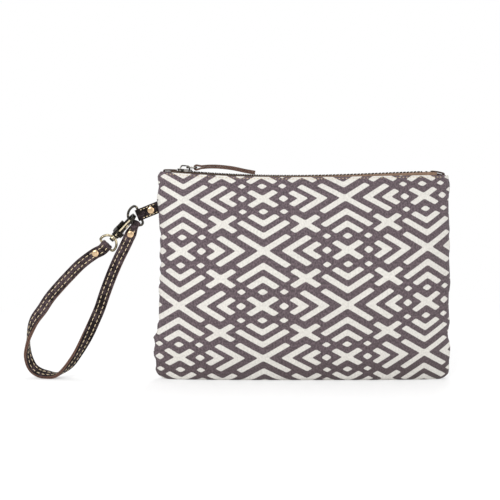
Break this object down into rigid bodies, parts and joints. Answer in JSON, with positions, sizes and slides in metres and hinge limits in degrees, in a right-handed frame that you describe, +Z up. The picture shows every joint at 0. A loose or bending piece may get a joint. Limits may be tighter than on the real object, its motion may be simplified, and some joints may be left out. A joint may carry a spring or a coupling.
{
  "type": "zipped wristlet pouch",
  "caption": "Flat zipped canvas pouch in a woven-style print, with a leather wrist strap clipped by a snap hook to a ring on its side.",
  "frame": {"origin": "middle of the flat base, on the surface that it stands on", "axes": "+Z up, +X to the right along the zip seen from the front, front panel towards -Y"},
  "size_m": [0.3697, 0.0276, 0.1858],
  "materials": {
    "canvas": "printed matt canvas weave",
    "lining": "matt plain weave",
    "zip_tape": "matt woven tape",
    "zip_metal": "antiqued, satin",
    "dark_leather": "worn, satin",
    "brown_leather": "worn, satin",
    "dark_metal": "darkened antique plate",
    "rivet_metal": "polished"
  },
  "bodies": {
    "pouch": {"front_panel": "canvas", "back_panel": "canvas", "front_lining": "lining", "back_lining": "lining", "zip_tape_front": "zip_tape", "zip_tape_back": "zip_tape", "zip_teeth_front": "zip_metal", "zip_teeth_back": "zip_metal", "zip_top_stop_front": "zip_metal", "zip_top_stop_back": "zip_metal", "zip_bottom_stop": "zip_metal", "zip_end_left": "dark_leather", "zip_end_right": "dark_leather", "side_tab": "dark_leather", "tab_rivet": "rivet_metal"},
    "slider": {"zip_slider": "zip_metal"},
    "pull_link": {"zip_pull_link": "zip_metal"},
    "pull": {"zip_pull": "brown_leather"},
    "ring": {"d_ring": "dark_metal"},
    "strap": {"strap_outer": "dark_leather", "strap_inner": "brown_leather", "eye_end_rivet": "rivet_metal", "ring_end_rivet": "rivet_metal", "swivel_eye": "dark_metal"},
    "hook": {"hook_body": "dark_metal", "gate_pin": "dark_metal", "gate_spring": "dark_metal"},
    "gate": {"hook_gate": "dark_metal"}
  },
  "joints": [
    {"name": "zip_slide", "type": "slide", "parent": "pouch", "child": "slider", "axis": [1, 0, -0.0035], "range_m": [0, 0.198], "deforming": ["zip_teeth_front", "zip_teeth_back", "zip_tape_front", "zip_tape_back", "zip_pull"]},
    {"name": "pull_link_turn", "type": "hinge", "parent": "slider", "child": "pull_link", "pos_m": [-0.0986, 0, 0.18312], "axis": [0, -1, 0], "range_deg": [0, 120]},
    {"name": "pull_turn", "type": "hinge", "parent": "pull_link", "child": "pull", "pos_m": [-0.0906, 0, 0.18312], "axis": [0, -1, 0], "range_deg": [0, 50]},
    {"name": "ring_turn", "type": "hinge", "parent": "pouch", "child": "ring", "pos_m": [-0.13943, 0, 0.14284], "axis": [0.3795, 0, -0.9252], "range_deg": [-90, 90]},
    {"name": "strap_turn", "type": "hinge", "parent": "ring", "child": "strap", "pos_m": [-0.14337, 0, 0.13393], "axis": [-0.9613, 0, 0.2756], "range_deg": [-4, 12]},
    {"name": "hook_swivel", "type": "hinge", "parent": "strap", "child": "hook", "pos_m": [-0.161, 0, 0.1243], "axis": [0.6884, 0, 0.7254], "range_deg": [-3, 3]},
    {"name": "gate_turn", "type": "hinge", "parent": "hook", "child": "gate", "pos_m": [-0.15715, -0.00327, 0.12699], "axis": [-0.6973, -0.2756, 0.6617], "range_deg": [0, 20], "stiffness_Nm_per_rad": 0.004, "springref_deg": -17.19}
  ]
}
